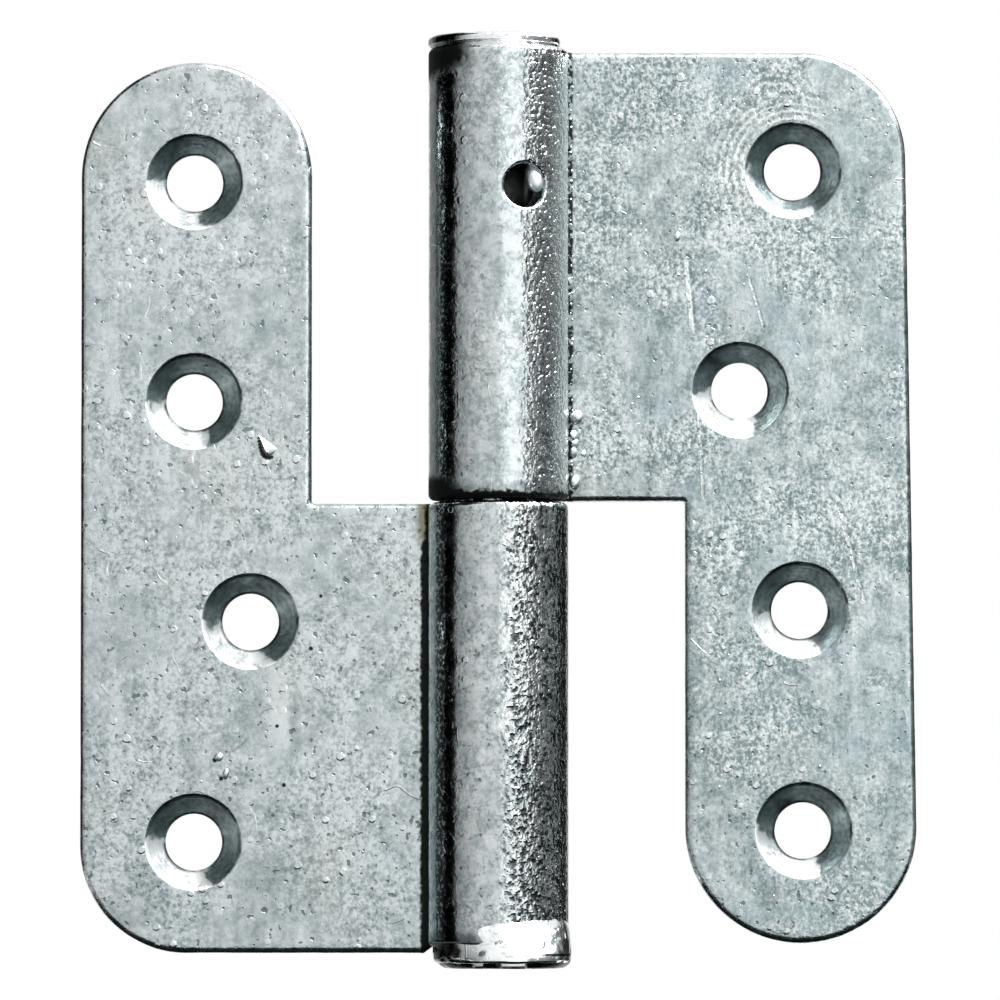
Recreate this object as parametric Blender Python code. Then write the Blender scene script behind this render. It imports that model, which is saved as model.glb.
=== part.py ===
"""Lift-off butt hinge: two rolled sheet leaves, a headed pin, a top plug and a bearing ball.

Both leaves are the same blank, an L cut from sheet whose foot is rolled into one knuckle. The door leaf is
that pressing turned half a turn in its own plane, so its knuckle comes above the frame leaf's.
Sizes are in metres. +Z runs up along the pin, -Y is the face with the countersinks, and +X points to the
door leaf. The origin lies on the pin's axis, at the joint between the two knuckles.
"""
import math

import bmesh
import bpy
from mathutils import Vector

# Sheet blank, as the frame leaf lies: heights are counted from the joint between the knuckles
SHEET_THICKNESS = 0.0030
LEAF_HEIGHT = 0.1105
LEAF_REACH = 0.05175      # pin's axis to the leaf's outer edge, at the limb
LEAF_SETBACK = 0.0020     # pin's axis to the leaf's front face
LEAF_DROP = 0.0006        # leaf's middle, below the joint
LIMB_WIDTH = 0.0286       # the limb that passes the other leaf's knuckle
CORNER_RADIUS = 0.0132    # outer corner at the leaf's foot
NOTCH_RADIUS = 0.0004     # inner corner of the notch
EDGE_ROUNDING = 0.0006    # sheared edges after dipping

# Knuckles
BEND_RADIUS = 0.0070      # bend between leaf and knuckle, at the sheet's middle
KNUCKLE_GAP = 0.0006      # between the two knuckles, whose inner ends are flush with the notches
STEP_RUN = 0.0010         # length of sheet over which a knuckle's outer end steps off the leaf's end

# Screw holes, four to a leaf in one row, with one of them set further in
HOLE_RADIUS = 0.0035
COUNTERSINK_RADIUS = 0.0059
COUNTERSINK_ANGLE = math.radians(90)
HOLE_COUNT = 4
HOLE_END_MARGIN = 0.0143  # first and last hole, from the leaf's ends
HOLE_INSET = 0.0140       # from the leaf's outer edge
INNER_HOLE = 2            # counted from 0 at the limb's end
INNER_HOLE_INSET = 0.0210

# Where the two pressings differ: the rolled edge's gap to the leaf, how far the knuckle's outer end stops
# short of the leaf's end, how far the leaf's outer edge comes in towards the foot, and how far the row of
# holes lies below its middle place, towards the foot
FRAME_SEAM_GAP = 0.0005
FRAME_KNUCKLE_STEP = 0.0008
FRAME_FOOT_TRIM = 0.0
FRAME_ROW_DROP = 0.0006
DOOR_SEAM_GAP = 0.0003
DOOR_KNUCKLE_STEP = -0.0002
DOOR_FOOT_TRIM = 0.0012
DOOR_ROW_DROP = -0.0004

# Oil hole in the door leaf's knuckle
OIL_HOLE_RADIUS = 0.0026
OIL_HOLE_LIP = 0.0003     # chamfer round its mouth
OIL_HOLE_DROP = 0.0175    # below the knuckle's top end
OIL_HOLE_TURN = math.radians(23.5)  # from the front towards the door leaf

# Pin, fixed in the frame leaf's knuckle
PIN_RADIUS = 0.0055
PIN_CLEARANCE = 0.00015   # pin and plug to the bore
PIN_LEAD = 0.0008         # chamfer that guides the door leaf on
HEAD_RADIUS = 0.0083
HEAD_THICKNESS = 0.0023
HEAD_EDGE = 0.0013        # rounding of the head's lower edge
HEAD_SHIFT = 0.0007       # the head was upset off centre

# Top plug, fixed in the door leaf's knuckle
CAP_RADIUS = 0.0082
CAP_THICKNESS = 0.0011
CAP_EDGE = 0.0005
CAP_SHIFT = -0.0005
PLUG_LEAD = 0.0006

# Bearing ball between pin and plug, level with the oil hole
BALL_RADIUS = 0.0050
CUP_DEPTH = 0.0012        # cups in the pin's top and in the plug's end
SEAT_GAP = 0.0003         # between pieces that rest on each other

# Fineness
ROLL_STEPS = 44
BEND_STEPS = 8
ARC_STEP = 0.0016         # longest side on the blank's round stretches
EDGE_STEPS = 2
HOLE_SEGMENTS = 28
TURN_SEGMENTS = 48
BALL_SEGMENTS = 28
CUTTER_OVERRUN = 0.0010

# Worked out from the sizes above
BORE_RADIUS = PIN_RADIUS + PIN_CLEARANCE
ROLL_RADIUS = BORE_RADIUS + SHEET_THICKNESS / 2
KNUCKLE_RADIUS = BORE_RADIUS + SHEET_THICKNESS
MIDDLE_Y = LEAF_SETBACK + SHEET_THICKNESS / 2
BEND_ANGLE = math.acos((MIDDLE_Y + BEND_RADIUS) / (ROLL_RADIUS + BEND_RADIUS))
BEND_X = (ROLL_RADIUS + BEND_RADIUS) * math.sin(BEND_ANGLE)
FLAT_LENGTH = LEAF_REACH - BEND_X
ROLL_START = FLAT_LENGTH + BEND_RADIUS * BEND_ANGLE
LEAF_TOP = LEAF_HEIGHT / 2 - LEAF_DROP
LEAF_BOTTOM = LEAF_TOP - LEAF_HEIGHT
KNUCKLE_TOP = -KNUCKLE_GAP / 2
FRAME_KNUCKLE_END = LEAF_BOTTOM + FRAME_KNUCKLE_STEP
DOOR_KNUCKLE_END = LEAF_BOTTOM + DOOR_KNUCKLE_STEP  # before the door leaf is turned round
EDGE_TOP = LEAF_TOP - LIMB_WIDTH / 2
EDGE_BOTTOM = LEAF_BOTTOM + CORNER_RADIUS
HOLE_PITCH = (LEAF_HEIGHT - 2 * HOLE_END_MARGIN) / (HOLE_COUNT - 1)
CUP_RADIUS = BALL_RADIUS + SEAT_GAP
BALL_HEIGHT = -DOOR_KNUCKLE_END - OIL_HOLE_DROP
PIN_TOP = BALL_HEIGHT - CUP_RADIUS + CUP_DEPTH
PLUG_END = BALL_HEIGHT + CUP_RADIUS - CUP_DEPTH
HEAD_TOP = FRAME_KNUCKLE_END - SEAT_GAP
CAP_BOTTOM = -DOOR_KNUCKLE_END + SEAT_GAP
FLANGE_REACH = max(HEAD_RADIUS - HEAD_SHIFT, CAP_RADIUS + CAP_SHIFT) + SEAT_GAP


def clear_scene():
    for item in list(bpy.data.objects):
        bpy.data.objects.remove(item, do_unlink=True)


def metal(name, colour, roughness, metallic=1.0):
    material = bpy.data.materials.new(name)
    material.use_nodes = True
    shader = material.node_tree.nodes["Principled BSDF"]
    shader.inputs["Base Color"].default_value = (*colour, 1.0)
    shader.inputs["Roughness"].default_value = roughness
    shader.inputs["Metallic"].default_value = metallic
    material.diffuse_color = (*colour, 1.0)
    return material


def arc(centre, radius, start, end, steps):
    """Points on an arc from start to end, both in degrees and both included."""
    points = []
    for step in range(steps + 1):
        angle = math.radians(start + (end - start) * step / steps)
        points.append(centre + radius * Vector((math.cos(angle), math.sin(angle))))
    return points


def arc_steps(radius, turn):
    return max(3, math.ceil(radius * math.radians(abs(turn)) / ARC_STEP))


def sheet_length(seam_gap):
    """Developed length of the blank, from its outer edge to the rolled edge that closes the knuckle."""
    closing = math.asin((LEAF_SETBACK - seam_gap) / KNUCKLE_RADIUS)
    return ROLL_START + ROLL_RADIUS * (BEND_ANGLE + math.radians(270) + closing)


def along_to(distance):
    """How far along the sheet its front face comes within this distance of the pin's axis."""
    if distance >= BEND_X:
        return LEAF_REACH - distance
    return FLAT_LENGTH + BEND_RADIUS * math.asin((BEND_X - distance) / (BEND_RADIUS + SHEET_THICKNESS / 2))


def outer_edge(height, foot_trim):
    """Where the leaf's outer edge stands at a height, counted inwards from its place at the limb."""
    return foot_trim * (EDGE_TOP - height) / (EDGE_TOP - EDGE_BOTTOM)


def blank_outline(length, knuckle_end, foot_trim):
    """Outline of the flat blank, anticlockwise: x along the sheet from the outer edge, y up the leaf."""
    corner = Vector((foot_trim + CORNER_RADIUS, EDGE_BOTTOM))
    notch = Vector((LIMB_WIDTH + NOTCH_RADIUS, KNUCKLE_TOP + NOTCH_RADIUS))
    limb_end = Vector((LIMB_WIDTH / 2, EDGE_TOP))
    step_end = along_to(FLANGE_REACH)
    outline = arc(corner, CORNER_RADIUS, 180, 270, arc_steps(CORNER_RADIUS, 90))
    outline.append(Vector((step_end - STEP_RUN, LEAF_BOTTOM)))
    outline.append(Vector((step_end, knuckle_end)))
    outline.append(Vector((length, knuckle_end)))
    outline.append(Vector((length, KNUCKLE_TOP)))
    outline += arc(notch, NOTCH_RADIUS, 270, 180, arc_steps(NOTCH_RADIUS, 90))
    outline += arc(limb_end, LIMB_WIDTH / 2, 0, 180, arc_steps(LIMB_WIDTH / 2, 180))
    return outline


def inset_outline(outline, distance):
    """The outline moved inwards, each point along the bisector of its corner."""
    moved = []
    for index, here in enumerate(outline):
        arriving = (here - outline[index - 1]).normalized()
        leaving = (outline[(index + 1) % len(outline)] - here).normalized()
        inward = Vector((-arriving.y, arriving.x))
        bisector = (inward + Vector((-leaving.y, leaving.x))).normalized()
        moved.append(here + bisector * (distance / bisector.dot(inward)))
    return moved


def rolled(along, across, up):
    """Where a point of the flat blank comes to lie: along the sheet, across its thickness to the back, up."""
    if along <= FLAT_LENGTH:
        return Vector((along - LEAF_REACH, MIDDLE_Y + across, up))
    if along <= ROLL_START:
        angle = (along - FLAT_LENGTH) / BEND_RADIUS
        radius = BEND_RADIUS - across
        return Vector((radius * math.sin(angle) - BEND_X, MIDDLE_Y + BEND_RADIUS - radius * math.cos(angle), up))
    angle = (along - ROLL_START) / ROLL_RADIUS - BEND_ANGLE
    radius = ROLL_RADIUS + across
    return Vector((radius * math.sin(angle), radius * math.cos(angle), up))


def blank_solid(outline):
    """The flat blank as a solid with rounded edges: x along the sheet, y across it, z up."""
    half = SHEET_THICKNESS / 2
    sections = []
    for step in range(EDGE_STEPS + 1):
        angle = math.radians(90 * step / EDGE_STEPS)
        sections.append((EDGE_ROUNDING * (1 - math.sin(angle)), half - EDGE_ROUNDING * (1 - math.cos(angle))))
    sections = [(inset, -across) for inset, across in sections] + sections[::-1]
    work = bmesh.new()
    rings = []
    for inset, across in sections:
        rings.append([work.verts.new((p.x, across, p.y)) for p in inset_outline(outline, inset)])
    for lower, upper in zip(rings, rings[1:]):
        for index in range(len(outline)):
            after = (index + 1) % len(outline)
            work.faces.new((lower[index], lower[after], upper[after], upper[index]))
    work.faces.new(rings[0])
    work.faces.new(rings[-1])
    bmesh.ops.recalc_face_normals(work, faces=work.faces)
    return work


def bend_lines(length):
    """Distances along the sheet at which it is creased: close together, so that bend and roll look round."""
    lines = [FLAT_LENGTH + BEND_RADIUS * BEND_ANGLE * step / BEND_STEPS for step in range(BEND_STEPS)]
    lines += [ROLL_START + (length - ROLL_START) * step / ROLL_STEPS for step in range(ROLL_STEPS)]
    return lines


def mesh_object(name, work, material):
    """Turn a bmesh into a smooth-shaded object with its creases kept sharp."""
    mesh = bpy.data.meshes.new(name)
    work.to_mesh(mesh)
    work.free()
    mesh.materials.append(material)
    mesh.shade_smooth()
    mesh.set_sharp_from_angle(angle=math.radians(35))
    item = bpy.data.objects.new(name, mesh)
    bpy.context.collection.objects.link(item)
    return item


def turned(name, profile, material, segments=TURN_SEGMENTS):
    """A turned body. The profile runs up from the axis and back to it, as (radius, height, shift in x)."""
    work = bmesh.new()
    rings = []
    for radius, height, shift in profile:
        if radius == 0:
            rings.append([work.verts.new((shift, 0, height))] * segments)
            continue
        ring = []
        for step in range(segments):
            angle = 2 * math.pi * step / segments
            ring.append(work.verts.new((shift + radius * math.cos(angle), radius * math.sin(angle), height)))
        rings.append(ring)
    for lower, upper in zip(rings, rings[1:]):
        for step in range(segments):
            after = (step + 1) % segments
            corners = [lower[step], lower[after], upper[after], upper[step]]
            work.faces.new(list(dict.fromkeys(corners)))
    bmesh.ops.recalc_face_normals(work, faces=work.faces)
    return mesh_object(name, work, material)


def cut(target, cutter):
    """Take a cutter's shape out of the target. The cutter moves with it and stays out of renders."""
    cutter.parent = target
    cutter.hide_render = True
    cutter.display_type = "WIRE"
    boolean = target.modifiers.new("cut " + cutter.name, "BOOLEAN")
    boolean.operation = "DIFFERENCE"
    boolean.solver = "EXACT"
    boolean.object = cutter


def flat_shading(item):
    """Keep large faces flat in shading, next to the holes that are cut in them."""
    weighted = item.modifiers.new("weighted normals", "WEIGHTED_NORMAL")
    weighted.keep_sharp = True


def screw_hole(name, material):
    """Cutter for one countersunk hole, its axis on Z and its wide mouth upwards at height 0."""
    depth = (COUNTERSINK_RADIUS - HOLE_RADIUS) / math.tan(COUNTERSINK_ANGLE / 2)
    mouth = COUNTERSINK_RADIUS + CUTTER_OVERRUN * math.tan(COUNTERSINK_ANGLE / 2)
    bottom = -SHEET_THICKNESS - CUTTER_OVERRUN
    profile = [(0, bottom, 0), (HOLE_RADIUS, bottom, 0), (HOLE_RADIUS, -depth, 0)]
    profile += [(mouth, CUTTER_OVERRUN, 0), (0, CUTTER_OVERRUN, 0)]
    return turned(name, profile, material, HOLE_SEGMENTS)


def leaf(name, seam_gap, knuckle_end, foot_trim, row_drop, material):
    """One leaf, lying as the frame leaf does: blank cut, rolled round the pin and drilled."""
    length = sheet_length(seam_gap)
    work = blank_solid(blank_outline(length, knuckle_end, foot_trim))
    for line in bend_lines(length):
        everything = work.verts[:] + work.edges[:] + work.faces[:]
        bmesh.ops.bisect_plane(work, geom=everything, dist=1e-7, plane_co=(line, 0, 0), plane_no=(1, 0, 0))
    for vertex in work.verts:
        vertex.co = rolled(*vertex.co)
    item = mesh_object(name, work, material)
    for number in range(HOLE_COUNT):
        height = LEAF_TOP - HOLE_END_MARGIN - row_drop - number * HOLE_PITCH
        inset = INNER_HOLE_INSET if number == INNER_HOLE else HOLE_INSET
        along = outer_edge(height, foot_trim) + inset
        cutter = screw_hole(f"{name}_screw_hole_{number + 1}", material)
        cutter.rotation_euler = (math.radians(90), 0, 0)
        cutter.location = (along - LEAF_REACH, LEAF_SETBACK, height)
        cut(item, cutter)
    return item


def oil_hole(material):
    """Cutter for the oil hole, as it lies on a leaf that isn't turned round yet."""
    mouth = OIL_HOLE_RADIUS + OIL_HOLE_LIP + CUTTER_OVERRUN
    profile = [(0, 0, 0), (OIL_HOLE_RADIUS, 0, 0), (OIL_HOLE_RADIUS, KNUCKLE_RADIUS - OIL_HOLE_LIP, 0)]
    profile += [(mouth, KNUCKLE_RADIUS + CUTTER_OVERRUN, 0), (0, KNUCKLE_RADIUS + CUTTER_OVERRUN, 0)]
    cutter = turned("oil_hole", profile, material, HOLE_SEGMENTS)
    cutter.rotation_euler = (math.radians(90), 0, -OIL_HOLE_TURN)
    cutter.location = (0, 0, DOOR_KNUCKLE_END + OIL_HOLE_DROP)
    return cutter


def rounded_edge(radius, height, size, start, end, shift):
    """Profile points round a flange's edge, from start to end in degrees: -90 to 0 below it, 0 to 90 above."""
    inwards = size if start < 0 else -size
    centre = Vector((radius - size, height + inwards))
    return [(p.x, p.y, shift) for p in arc(centre, size, start, end, 2 * EDGE_STEPS)]


def cup(rim_height, up):
    """Profile points of a ball's cup, from its rim to the axis; up is 1 if it opens upwards, else -1."""
    rim = math.acos((CUP_RADIUS - CUP_DEPTH) / CUP_RADIUS)
    centre = rim_height + up * (CUP_RADIUS - CUP_DEPTH)
    points = []
    for step in range(2 * EDGE_STEPS):
        angle = rim * (1 - step / (2 * EDGE_STEPS))
        points.append((CUP_RADIUS * math.sin(angle), centre - up * CUP_RADIUS * math.cos(angle), 0))
    return points + [(0, centre - up * CUP_RADIUS, 0)]


def hinge_pin(material):
    """Pin with an upset head below, a lead-in above and a cup for the ball."""
    bottom = HEAD_TOP - HEAD_THICKNESS
    profile = [(0, bottom, HEAD_SHIFT)]
    profile += rounded_edge(HEAD_RADIUS, bottom, HEAD_EDGE, -90, 0, HEAD_SHIFT)
    profile += [(HEAD_RADIUS, HEAD_TOP, HEAD_SHIFT), (PIN_RADIUS, HEAD_TOP, 0)]
    profile += [(PIN_RADIUS, PIN_TOP - PIN_LEAD, 0), (PIN_RADIUS - PIN_LEAD, PIN_TOP, 0)]
    return turned("hinge_pin", profile + cup(PIN_TOP, 1), material)


def top_plug(material):
    """Plug with a flange over the knuckle and a shank whose cup rests on the ball."""
    top = CAP_BOTTOM + CAP_THICKNESS
    profile = cup(PLUG_END, -1)[::-1]
    profile += [(PIN_RADIUS - PLUG_LEAD, PLUG_END, 0), (PIN_RADIUS, PLUG_END + PLUG_LEAD, 0)]
    profile += [(PIN_RADIUS, CAP_BOTTOM, 0), (CAP_RADIUS, CAP_BOTTOM, CAP_SHIFT)]
    profile += rounded_edge(CAP_RADIUS, top, CAP_EDGE, 0, 90, CAP_SHIFT)
    return turned("top_plug", profile + [(0, top, CAP_SHIFT)], material)


def bearing_ball(material):
    """Steel ball that carries the door leaf on the pin."""
    work = bmesh.new()
    bmesh.ops.create_uvsphere(work, u_segments=BALL_SEGMENTS, v_segments=BALL_SEGMENTS // 2, radius=BALL_RADIUS)
    ball = mesh_object("bearing_ball", work, material)
    ball.location = (0, 0, BALL_HEIGHT)
    return ball


def group(name, members):
    """An empty on the hinge's axis that carries the pieces which move together."""
    empty = bpy.data.objects.new(name, None)
    bpy.context.collection.objects.link(empty)
    for member in members:
        member.parent = empty


def main():
    clear_scene()
    zinc = metal("dipped zinc", (0.50, 0.52, 0.51), 0.42)
    pin_zinc = metal("zinc on turned steel", (0.62, 0.63, 0.62), 0.35)
    steel = metal("ball steel", (0.56, 0.56, 0.57), 0.15)
    frame_leaf = leaf("frame_leaf", FRAME_SEAM_GAP, FRAME_KNUCKLE_END, FRAME_FOOT_TRIM, FRAME_ROW_DROP, zinc)
    door_leaf = leaf("door_leaf", DOOR_SEAM_GAP, DOOR_KNUCKLE_END, DOOR_FOOT_TRIM, DOOR_ROW_DROP, zinc)
    cut(door_leaf, oil_hole(zinc))
    flat_shading(frame_leaf)
    flat_shading(door_leaf)
    door_leaf.rotation_euler = (0, math.radians(180), 0)
    group("frame_side", [frame_leaf, hinge_pin(pin_zinc)])
    group("bearing", [bearing_ball(steel)])
    group("door_side", [door_leaf, top_plug(pin_zinc)])


main()
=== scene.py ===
"""Looks of a lift-off butt hinge: two leaves of rolled sheet, pin, plug, ball and their dipped zinc.

The file is laid out as an add-on with one operator for each piece or group of like pieces. Sizes are in
metres. +Z runs up the pin, -Y is the face with the countersinks, +X points to the door leaf, and the origin
lies on the pin's axis at the joint between the knuckles. A leaf is first a flat blank, with x along the
sheet from its outer edge, y across it to the back and z up, and is then rolled.
"""
import math
import random

import bmesh
import bpy
from bpy.props import FloatProperty, FloatVectorProperty, IntProperty, PointerProperty
from mathutils import Matrix, Vector, geometry, kdtree


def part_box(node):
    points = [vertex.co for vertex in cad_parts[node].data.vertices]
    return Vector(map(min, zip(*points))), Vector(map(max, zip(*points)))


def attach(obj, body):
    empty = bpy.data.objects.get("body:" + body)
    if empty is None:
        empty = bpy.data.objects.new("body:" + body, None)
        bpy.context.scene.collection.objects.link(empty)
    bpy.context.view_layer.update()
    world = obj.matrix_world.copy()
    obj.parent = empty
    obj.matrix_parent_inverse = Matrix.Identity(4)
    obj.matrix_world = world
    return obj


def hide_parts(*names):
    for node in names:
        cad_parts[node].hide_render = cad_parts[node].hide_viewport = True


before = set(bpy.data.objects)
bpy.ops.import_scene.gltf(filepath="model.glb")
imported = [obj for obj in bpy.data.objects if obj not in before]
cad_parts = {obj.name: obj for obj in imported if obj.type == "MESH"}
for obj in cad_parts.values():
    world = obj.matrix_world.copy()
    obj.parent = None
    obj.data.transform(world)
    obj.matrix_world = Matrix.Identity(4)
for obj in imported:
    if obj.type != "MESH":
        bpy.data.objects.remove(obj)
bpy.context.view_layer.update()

bl_info = {
    "name": "Lift-off hinge looks",
    "version": (1, 0, 0),
    "blender": (4, 5, 0),
    "location": "View3D > Sidebar > Hinge",
    "description": "Dresses the packed solids of a lift-off hinge in dipped zinc",
    "category": "Object",
}

MM = 0.001
LEAF_LOW, LEAF_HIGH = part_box("frame_leaf")
HEAD_LOW, PIN_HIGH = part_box("hinge_pin")
PLUG_LOW, CAP_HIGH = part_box("top_plug")
BALL_LOW, BALL_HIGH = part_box("bearing_ball")
OIL_HOLE_STEPS = 44
BODY_STEPS = 96        # round pin and plug
COLLAR_STEPS = 160
CUP_STEPS = 8
SMOOTH_ANGLE = 50      # edges sharper than this, in degrees, stay sharp
HIDDEN_FROM = ("camera", "diffuse", "shadow", "transmission")


def length(default, name):
    """A size, with its default in millimetres."""
    return FloatProperty(name=name, default=default * MM, unit="LENGTH", precision=5)


def pair(frame_leaf, door_leaf, name):
    """A size of the frame leaf and of the door leaf, in millimetres."""
    return FloatVectorProperty(name=name, default=(frame_leaf * MM, door_leaf * MM), size=2, unit="LENGTH",
                               precision=5)


def angle(default, name):
    """An angle, with its default in degrees."""
    return FloatProperty(name=name, default=math.radians(default), subtype="ANGLE")


def tint(default, name):
    return FloatVectorProperty(name=name, default=default, size=3, min=0, max=1, subtype="COLOR")


def factor(default, name):
    return FloatProperty(name=name, default=default, min=0, subtype="FACTOR")


class HingeSheetSizes(bpy.types.PropertyGroup):
    """The blank that both leaves are pressed from"""
    thickness: length(3.0, "Thickness of the sheet")
    reach: length(-LEAF_LOW.x / MM, "Pin's axis to the leaf's outer edge")
    setback: length(2.0, "Pin's axis to the leaf's front face")
    knuckle: length(8.65, "Outside of the rolled knuckle")
    limb_width: length(28.6, "Width of the limb that passes the other knuckle")
    corner: length(13.2, "Outer corner at the foot")
    notch: length(0.4, "Inner corner of the notch")
    step_place: length(8.0, "Where a knuckle's outer end steps off the leaf's end")
    step_run: length(1.0, "Length of sheet over which it does so")
    bend: length(7.0, "Bend between leaf and knuckle, at the sheet's middle")
    rounding: length(0.75, "Sheared edges after dipping")
    tip: length(0.8, "Corners of the rolled edge")
    mesh: length(0.5, "Longest side of the leaf's triangles")


class HingePressingSizes(bpy.types.PropertyGroup):
    """Where the two pressings differ, and their holes"""
    hole: length(3.5, "Radius of a screw hole")
    mouth: length(5.9, "Radius of a countersink at its mouth")
    end_margin: length(14.3, "First and last hole, from the leaf's ends")
    inset: length(14.0, "Holes from the leaf's outer edge")
    inner_inset: length(21.0, "The one hole that is set further in")
    inner: IntProperty(default=2, name="Which hole that is, from 0 at the limb's end")
    count: IntProperty(default=4, name="Screw holes in a leaf")
    seam: pair(0.5, 0.3, "Rolled edge to the leaf")
    step: pair(0.8, -0.2, "Knuckle's outer end, short of the leaf's")
    gap: pair(0.24, 0.05, "Knuckle's inner end, clear of the joint")
    trim: pair(0.0, 1.2, "How far the leaf's outer edge comes in at the foot")
    drop: pair(0.6, -0.4, "Row of holes below its middle place")
    oil: length(2.6, "Radius of the oil hole")
    oil_drop: length(17.5, "Oil hole below the knuckle's top end")
    oil_turn: angle(23.5, "From the front towards the door leaf")


class HingePinSizes(bpy.types.PropertyGroup):
    """Pin, plug and ball"""
    shank: length(5.5, "Radius of pin and plug")
    lead: length(0.8, "Chamfer on the pin's top")
    head: length(8.3, "Radius of the pin's head")
    head_rounding: length(1.3, "Lower edge of the head")
    head_shift: length(0.7, "Head off the pin's axis")
    cap: length(8.2, "Radius of the plug's flange")
    cap_rounding: length(0.5, "Upper edge of the flange")
    cap_shift: length(-0.5, "Flange off the pin's axis")
    ball: length((BALL_HIGH.z - BALL_LOW.z) / 2 / MM, "Radius of the bearing ball")
    seat: length(0.3, "Room between pieces that rest on each other")
    cup: length(1.2, "Depth of the ball's cups")


class HingeZincLook(bpy.types.PropertyGroup):
    """Dipped zinc: its colours, and how rough and lumpy it sets"""
    light: tint((0.645, 0.695, 0.705), "Where the coat is clean")
    dark: tint((0.180, 0.238, 0.245), "Between the grains of the coat")
    # Blue-grey tint below: also the painted reflection along the knuckles' outer rims
    cold: tint((0.36, 0.45, 0.475), "Where alloy shows through the coat")
    warm: tint((0.60, 0.585, 0.50), "Flux stains")
    bare: tint((0.40, 0.48, 0.49), "In the countersinks")
    # Dark tint below: real pits and spots, and painted shade at knuckle ends, beside scratches and in
    # countersinks
    pit_and_shade: tint((0.075, 0.11, 0.11), "At the bottom of the deeper pits")
    # Near-white tint below: also painted highlights on lumps, dimples, scratches, edges, rims, cones and
    # collar
    glint: tint((0.86, 0.89, 0.89), "Fresh crystals on top of the grain")
    # Near-black tint below: mostly painted shade in seams, flanks, undersides and countersinks; some dark
    # marks
    soot_and_shade: tint((0.012, 0.014, 0.014), "Flux and dirt in seams and crevices")
    stain: tint((0.16, 0.16, 0.075), "Olive rust stain at the joint")
    roughness: factor(0.25, "Sheen of the clean coat")
    cut_roughness: factor(0.34, "Sheen of the countersinks")
    lump: length(0.05, "Height of the coat's slow waves")
    grain: length(0.022, "Height of the coat's grain")
    flare: length(0.45, "Zinc that gathered at the lower knuckle's end")


class HingeStageLook(bpy.types.PropertyGroup):
    """Studio: lamp, cards, floor and camera"""
    distance: length(930, "Camera to the pin's axis")
    rise: angle(-2.5, "Camera above the hinge's middle")
    width: length(123.64, "Width that the picture covers at the pin")
    room: factor(1.0, "Brightness of the room and of the background")
    top: factor(14.0, "Brightness of the lamp above, to the right")
    floor: tint((0.82, 0.82, 0.82), "Colour of the floor")


def arithmetic(operation):
    """A method of Wire for one of the operators."""
    return lambda wire, other: wire.math(operation, other)


class Wire:
    """A node's output. Sums written with it add Math nodes to the board that it is on."""

    def __init__(self, board, socket):
        self.board = board
        self.socket = socket

    def math(self, operation, *others):
        return self.board.math(operation, self, *others)

    def __rsub__(self, other):
        return self.board.math("SUBTRACT", other, self)

    __add__ = __radd__ = arithmetic("ADD")
    __sub__ = arithmetic("SUBTRACT")
    __mul__ = __rmul__ = arithmetic("MULTIPLY")
    __truediv__ = arithmetic("DIVIDE")
    __gt__ = arithmetic("GREATER_THAN")
    __lt__ = arithmetic("LESS_THAN")

    def __abs__(self):
        return self.math("ABSOLUTE")

    def clamped(self):
        return self.board.put("ShaderNodeClamp", {"Value": self})

    def fade(self, start, end):
        """0 at start and 1 at end, smooth in between; start may be the larger one."""
        return self.board.put("ShaderNodeMapRange", {"Value": self, "From Min": start, "From Max": end},
                              interpolation_type="SMOOTHSTEP")

    def span(self, start, end, base=0.0):
        """The same, with start and end in millimetres from a base that is in metres."""
        return self.fade(base + start * MM, base + end * MM)


class Board:
    """A node tree, and one way to put a node on it."""

    def __init__(self, tree):
        self.tree = tree

    def put(self, kind, sockets=None, output=0, **settings):
        """Add a node with the values or links of its sockets and its settings; gives one of its outputs."""
        made = self.tree.nodes.new(kind)
        for name, value in settings.items():
            setattr(made, name, value)
        self.feed(made, sockets or {})
        return Wire(self, made.outputs[output])

    def math(self, operation, *terms):
        return self.put("ShaderNodeMath", dict(enumerate(terms)), operation=operation)

    def feed(self, node, sockets):
        """Give the node's sockets their values and links."""
        for key, value in sockets.items():
            if isinstance(value, Wire):
                self.tree.links.new(value.socket, node.inputs[key])
            else:
                node.inputs[key].default_value = value

    def noise(self, place, grain, detail=2.0, distortion=0.0):
        """Noise from about 0 to 1, whose lumps are about one grain wide, in millimetres."""
        return self.put("ShaderNodeTexNoise", {"Vector": place, "Scale": 1 / (grain * MM), "Detail": detail,
                                               "Distortion": distortion}, noise_dimensions="3D")

    def mapped(self, vector, **sockets):
        return self.put("ShaderNodeMapping", {"Vector": vector, **sockets})

    def attribute(self, name, output="Fac"):
        return self.put("ShaderNodeAttribute", output=output, attribute_name=name)

    def length_of(self, vector):
        return self.put("ShaderNodeVectorMath", {0: vector}, "Value", operation="LENGTH")

    def scaled(self, vector, scale):
        return self.put("ShaderNodeVectorMath", {0: vector, "Scale": scale}, operation="SCALE")

    def parts(self, vector):
        """The three parts of a vector."""
        first = self.put("ShaderNodeSeparateXYZ", {0: vector})
        return [Wire(self, socket) for socket in first.socket.node.outputs]

    def joined(self, x, y, z):
        return self.put("ShaderNodeCombineXYZ", {0: x, 1: y, 2: z})

    def mix(self, share, first, second):
        """A colour between two; first and second are colours or wires."""
        first, second = (value if isinstance(value, Wire) else (*value, 1) for value in (first, second))
        sockets = {0: share, 6: first, 7: second}
        return self.put("ShaderNodeMix", sockets, 2, data_type="RGBA", clamp_factor=True)


def pick(mask, yes, no):
    """yes where the mask is 1 and no where it is 0."""
    return no + (yes - no) * mask


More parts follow.
